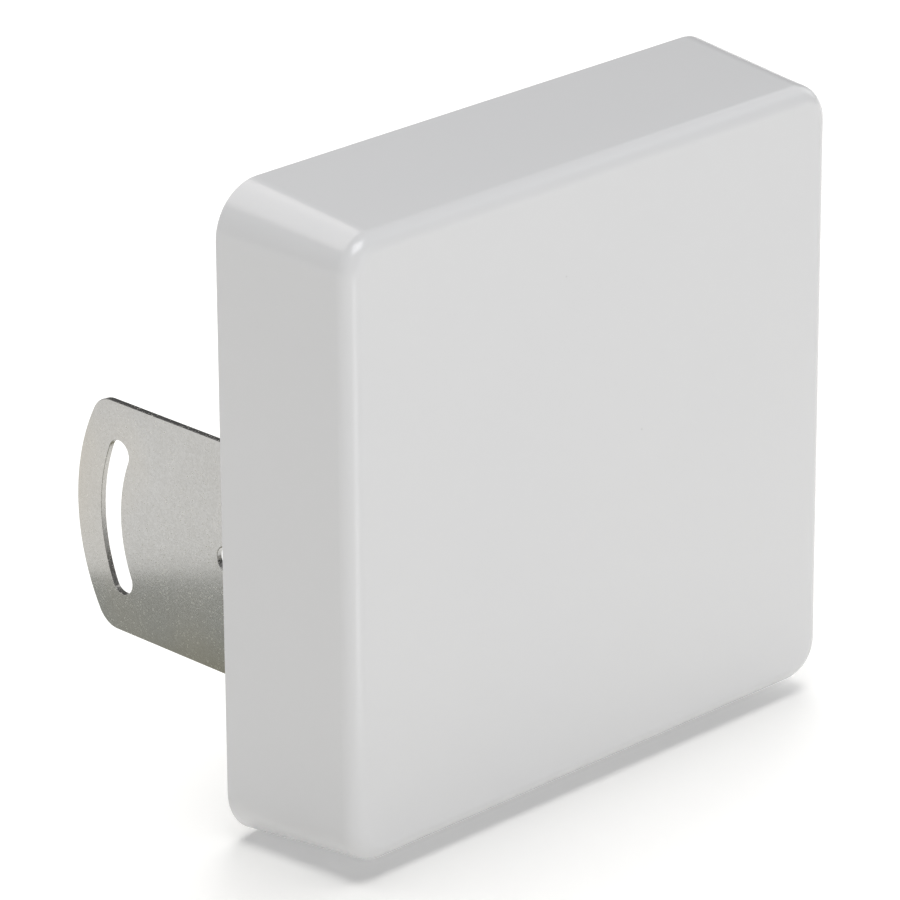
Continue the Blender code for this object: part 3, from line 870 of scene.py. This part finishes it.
def buildNut(side, shape):
    centre = centreOf(f"socket_nut_{side}")
    low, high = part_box(f"socket_nut_{side}")
    data = bmesh.new()
    chamfer = math.radians(shape["chamferDegrees"])
    faceRadius = shape["apothem"] * shape["faceShare"]
    flat, upperEdge = hexFace(data, shape["apothem"], high.y, chamfer, 1, faceRadius)
    under, lowerEdge = hexFace(data, shape["apothem"], low.y, chamfer, -1, faceRadius)
    bore, ease = shape["bore"], shape["boreEase"]
    bores = [roundRing(data, bore + ease, low.y), roundRing(data, bore, low.y + ease),
             roundRing(data, bore, high.y - ease), roundRing(data, bore + ease, high.y)]
    skin(data, [lowerEdge, under, *bores, flat, upperEdge], closed=True)
    nut = toObject(f"socketNut{side.title()}", data, hexSharp)
    nut.data.transform(Matrix.Translation((centre.x, 0, centre.z)))
    return settle(nut, "antenna", "nickel", f"socket_nut_{side}")


def buildCap(side, shape):
    centre = centreOf(f"socket_cap_{side}")
    outer, skirt, top, edge = shape["outer"], shape["skirt"], shape["top"], shape["edge"]
    lip = outer + shape["lip"]
    lipTop = skirt + shape["lipHigh"]
    wallFoot = lipTop + shape["lip"]
    crown = top + shape["crown"]
    profile = [(0, shape["roof"]), (shape["bore"], shape["roof"]), (shape["bore"], skirt),
               (lip, skirt), (lip, lipTop), (outer, wallFoot), (outer, top - edge),
               (outer * shape["crownShare"], crown), (shape["dishRadius"], crown),
               (shape["dishFoot"], top + edge), (0, top + edge)]
    cap = toObject(f"socketCap{side.title()}", lathe(eased(profile, shape["ease"], steps=4), steps=56))
    ribProfile = [(0, wallFoot), (shape["ribRadius"], wallFoot + edge),
                  (shape["ribRadius"], top - shape["ribShort"]), (0, top - shape["ribTip"])]
    rib = toObject("rib", lathe(ribProfile, steps=8))
    modifier = cap.modifiers.new("ribs", "NODES")
    modifier.node_group = ribbing
    giveInputs(modifier, {"Rib": rib, "Ribs": shape["ribs"], "Radius": shape["outer"],
                          "Finish": finishes["cap_plastic"]})
    applied(cap)
    bpy.data.objects.remove(rib)
    cap.data.transform(Matrix.Translation((centre.x, rearY, centre.z)))
    return settle(cap, f"cap_{side}", "cap_plastic", f"socket_cap_{side}")


for side in ("left", "right"):
    buildSocket(side, socketShape)
    buildNut(side, nutShape)
    buildCap(side, capShape)


# Vent plug: low button with notches round its edge

ventShape = {"head": 0.005, "height": 0.0023, "face": 0.0036, "bevel": 0.001, "lap": 0.0003,
             "stem": 0.003, "barb": 0.0036, "barbHigh": 0.0025, "barbTip": 0.0026, "ease": 0.0003,
             "notches": 8, "notchRadius": 0.0005, "notchFoot": 0.0005, "overcut": 0.001}


def buildVent(shape):
    low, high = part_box("vent_plug")
    centre = centreOf("vent_plug")
    seat = high.y - shape["height"] + shape["lap"]
    barbTop = low.y + shape["barbHigh"]
    profile = [(0, high.y), (shape["face"], high.y), (shape["head"], high.y - shape["bevel"]),
               (shape["head"], seat), (shape["stem"], seat), (shape["stem"], barbTop),
               (shape["barb"], barbTop), (shape["barbTip"], low.y), (0, low.y)]
    vent = toObject("ventPlug", lathe(eased(profile, shape["ease"], steps=3), steps=48))
    notch = rod(shape["notchRadius"], high.y + shape["overcut"], seat + shape["notchFoot"])
    for index in range(shape["notches"]):
        tool = toObject("tool", lathe(notch, steps=16))
        angle = 2 * math.pi * index / shape["notches"]
        tool.data.transform(Matrix.Translation((shape["head"] * math.cos(angle), 0,
                                                shape["head"] * math.sin(angle))))
        cut(vent, tool)
    vent.data.transform(Matrix.Translation((centre.x, 0, centre.z)))
    shadeRound(vent, sharpDegrees=35)
    return settle(vent, "antenna", "cap_plastic", "vent_plug")


buildVent(ventShape)


# Inner pieces keep their CAD shape and get their finish

slotOf = {entry["node"]: entry["material_slot"] for entry in frame["record"]["subparts"]}
for node, piece in frame["nodes"].items():
    if not piece.hide_render:
        piece.data.materials.clear()
        piece.data.materials.append(finishes[slotOf[node]])
print("inner pieces finished")


# Floor, light and camera

stageShape = {"floor": 9.0, "glow": 0.25, "world": 0.12, "seen": 1.0}
cameraPlace = {"eye": (-1.1271, -1.1680, 0.7357), "azimuth": -44.781, "elevation": 21.989,
               "roll": -0.333, "lens": 232.87}
# two lamps light only the floor and five only the antenna, so that the floor stays white
lights = {
    "floorTop": {"at": (0.0, 0.0, 1.7), "size": (1.4, 1.4), "power": 28.0, "on": "floor",
                 "tint": (1.0, 0.99, 0.965)},
    "floorBack": {"at": (0.9, 0.7, 1.2), "size": (0.8, 0.8), "power": 5.4, "on": "floor",
                  "tint": (1.0, 1.0, 1.0)},
    "topFront": {"at": (-0.35, -0.7, 1.6), "size": (0.9, 0.9), "power": 15.4, "on": "antenna",
                 "tint": (0.97, 0.98, 1.0)},
    "front": {"at": (0.2, -1.7, 0.5), "size": (0.8, 0.8), "power": 2.1, "on": "antenna",
              "tint": (0.95, 0.96, 1.0)},
    "fill": {"at": (-1.5, -1.55, 1.0), "size": (0.9, 0.9), "power": 1.1, "on": "antenna",
             "tint": (1.0, 1.0, 1.0)},
    "topBack": {"at": (-0.1, 0.92, 1.48), "size": (1.8, 0.4), "power": 6.1, "on": "antenna",
                "tint": (1.0, 0.975, 0.965)},
    "topRight": {"at": (1.22, -0.15, 1.2), "size": (1.7, 0.18), "power": 1.5, "on": "antenna",
                 "tint": (1.0, 0.99, 0.99)},
    "right": {"at": (1.6, 0.0, 0.7), "size": (0.8, 0.8), "power": 3.0, "tint": (1.0, 1.0, 1.0)},
}
# glowing cards laid on the floor, which only their mirror images show: a grey one paints reflected shade into
# the zinc, a white one paints a highlight in the front edge
cardShapes = {
    "greyCard": {"start": (-0.1307, -0.0057), "end": (0.0107, 0.1357), "halves": (0.057, 0.057), "glow": 1.0},
    "whiteCard": {"start": (-0.118, -0.19), "end": (-0.25, -0.86), "halves": (0.02, 0.15), "glow": 2.3},
}
cardLift = 0.001
lampAim = Vector((0.0, 0.0, 0.1))


def paleFloor(graph, place):
    cloud = noise(graph, place, 3.0, 3.0)
    grain = noise(graph, place, 900.0, 2.0)
    colour = mixed(graph, cloud * 0.5 + grain * 0.5, (0.86, 0.86, 0.86, 1), (0.90, 0.90, 0.90, 1))
    distance = graph.add("ShaderNodeVectorMath", {"operation": "LENGTH"}, {0: place}, out="Value")
    far = ramp(graph, distance * 0.4, ((0.3, 0.0), (0.9, 1.0)))
    return {"Base Color": colour, "Roughness": 0.7 + grain * 0.2, "Emission Color": 0.88 + far * 3.3}


def buildStage(shape):
    data = bmesh.new()
    bmesh.ops.create_grid(data, x_segments=8, y_segments=8, size=shape["floor"] / 2)
    floor = toObject("studioFloor", data)
    dull = {"Emission Strength": shape["glow"], "Specular IOR Level": 0.0}   # with gloss the cards show
    floor.data.materials.append(makeFinish("paleFloor", paleFloor, dull))
    world = bpy.data.worlds.new("studio")
    scene.world = world
    world.use_nodes = True
    world.node_tree.nodes.clear()
    graph = Graph(world.node_tree)
    seen = graph.add("ShaderNodeLightPath", out="Is Camera Ray")
    strength = shape["world"] + seen * (shape["seen"] - shape["world"])
    sky = graph.add("ShaderNodeBackground", None, {"Color": (1.0, 1.0, 1.0, 1.0), "Strength": strength})
    graph.add("ShaderNodeOutputWorld", None, {"Surface": sky})
    return floor


# painted shade: a dark glowing card, seen only in reflections, stands in for shadow on the floor beside the
# bracket and glows lighter further across
def greyCard(graph, place):
    fibre = noise(graph, place, 120.0, 3.0)
    colour = mixed(graph, fibre, (0.0, 0.0, 0.0, 1), (0.02, 0.02, 0.02, 1))
    across = graph.add("ShaderNodeVectorMath", {"operation": "DOT_PRODUCT"},
                       {0: place, 1: (-0.707, 0.707, 0.0)}, out="Value")
    far = ramp(graph, across * 10.0, ((0.5, 0.0), (1.0, 1.0)))
    glow = mixed(graph, far, (0.36, 0.35, 0.265, 1), (0.475, 0.485, 0.45, 1))
    return {"Base Color": colour, "Emission Color": glow}


# painted highlight: a glowing card, seen only in reflections, lays a thin highlight line along the cover's
# front-left edge
def whiteCard(graph, place):
    fibre = noise(graph, place, 120.0, 3.0)
    glow = mixed(graph, fibre, (0.96, 0.97, 0.98, 1), (1.0, 1.0, 1.0, 1))
    return {"Base Color": glow, "Emission Color": glow}


def buildCard(name, recipe, shape):
    start = Vector((*shape["start"], cardLift))
    end = Vector((*shape["end"], cardLift))
    sideways = (end - start).normalized().cross(Vector((0, 0, 1)))
    near, far = shape["halves"]
    corners = (start + sideways * near, end + sideways * far, end - sideways * far, start - sideways * near)
    data = bmesh.new()
    data.faces.new([data.verts.new(corner) for corner in corners])
    card = toObject(name, data)
    card.data.materials.append(makeFinish(name, recipe, {"Emission Strength": shape["glow"]}))
    card.visible_camera = False
    card.visible_diffuse = False
    card.visible_shadow = False


def addLight(name, setup, groups):
    lamp = bpy.data.lights.new(name, "AREA")
    lamp.shape = "RECTANGLE"
    lamp.size, lamp.size_y = setup["size"]
    lamp.energy = setup["power"]
    lamp.color = setup["tint"]
    holder = bpy.data.objects.new(name, lamp)
    holder.location = setup["at"]
    aim = lampAim - Vector(setup["at"])
    holder.rotation_euler = aim.to_track_quat("-Z", "Y").to_euler()
    scene.collection.objects.link(holder)
    if "on" in setup:
        holder.light_linking.receiver_collection = groups[setup["on"]]
    if setup.get("on") == "floor":
        holder.light_linking.blocker_collection = groups["casters"]


def lightGroup(name, pieces):
    group = bpy.data.collections.new(name)
    for piece in pieces:
        group.objects.link(piece)
    return group


def addCamera(place):
    azimuth = math.radians(place["azimuth"])
    elevation = math.radians(place["elevation"])
    back = Vector((math.sin(azimuth) * math.cos(elevation), -math.cos(azimuth) * math.cos(elevation),
                   math.sin(elevation)))
    right = (-back).cross(Vector((0, 0, 1))).normalized()
    up = right.cross(-back)
    roll = math.radians(place["roll"])
    sideways = right * math.cos(roll) + up * math.sin(roll)
    upwards = up * math.cos(roll) - right * math.sin(roll)
    camera = bpy.data.cameras.new("camera")
    camera.lens = place["lens"]
    camera.sensor_width = 36.0
    camera.clip_end = 50.0
    holder = bpy.data.objects.new("camera", camera)
    turn = Matrix((sideways, upwards, back)).transposed().to_4x4()
    holder.matrix_world = Matrix.Translation(place["eye"]) @ turn
    scene.collection.objects.link(holder)
    scene.camera = holder


pieces = [item for item in scene.objects if item.type == "MESH"]
groups = {"antenna": lightGroup("antennaPieces", pieces),
          "casters": lightGroup("castersOnFloor", [item for item in pieces if item is not bracket]),
          "floor": lightGroup("floorPieces", [buildStage(stageShape)])}
for recipe in (greyCard, whiteCard):
    buildCard(recipe.__name__, recipe, cardShapes[recipe.__name__])
for name, setup in lights.items():
    addLight(name, setup, groups)
addCamera(cameraPlace)
scene.view_settings.view_transform = "Standard"
print("stage, lights and camera set")
